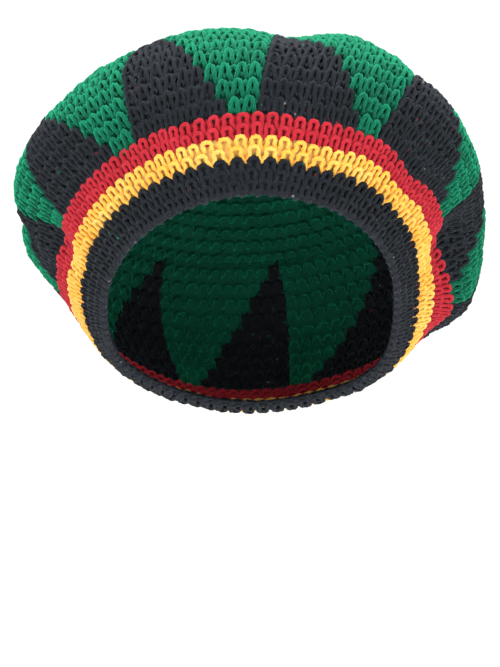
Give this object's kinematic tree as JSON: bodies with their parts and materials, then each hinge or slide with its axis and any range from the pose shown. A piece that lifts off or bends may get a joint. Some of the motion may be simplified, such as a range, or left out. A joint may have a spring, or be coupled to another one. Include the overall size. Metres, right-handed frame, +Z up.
{
  "type": "crocheted rasta tam",
  "caption": "Full slouching crocheted tam with a black head band, a gold and a red stripe, and a crown of green and black wedges.",
  "frame": {"origin": "middle of the head opening, at the lower edge of the band, where a head sits", "axes": "+Z up as worn, +Y towards the back of the head, +X towards the wearer's left, which is the right of the front view"},
  "size_m": [0.2495, 0.2535, 0.1957],
  "materials": {
    "black_yarn": "matt crocheted acrylic yarn",
    "gold_yarn": "matt crocheted acrylic yarn",
    "red_yarn": "matt crocheted acrylic yarn",
    "green_yarn": "matt crocheted acrylic yarn"
  },
  "bodies": {
    "root": {"brim_band": "black_yarn", "gold_stripe": "gold_yarn", "red_stripe": "red_yarn", "green_wedge_01": "green_yarn", "black_wedge_01": "black_yarn", "green_wedge_02": "green_yarn", "black_wedge_02": "black_yarn", "green_wedge_03": "green_yarn", "black_wedge_03": "black_yarn", "green_wedge_04": "green_yarn", "black_wedge_04": "black_yarn", "green_wedge_05": "green_yarn", "black_wedge_05": "black_yarn", "green_wedge_06": "green_yarn", "black_wedge_06": "black_yarn", "green_wedge_07": "green_yarn", "black_wedge_07": "black_yarn", "green_wedge_08": "green_yarn", "black_wedge_08": "black_yarn", "green_wedge_09": "green_yarn", "black_wedge_09": "black_yarn", "green_wedge_10": "green_yarn", "black_wedge_10": "black_yarn", "green_wedge_11": "green_yarn", "black_wedge_11": "black_yarn", "crown_top": "green_yarn"}
  },
  "joints": []
}
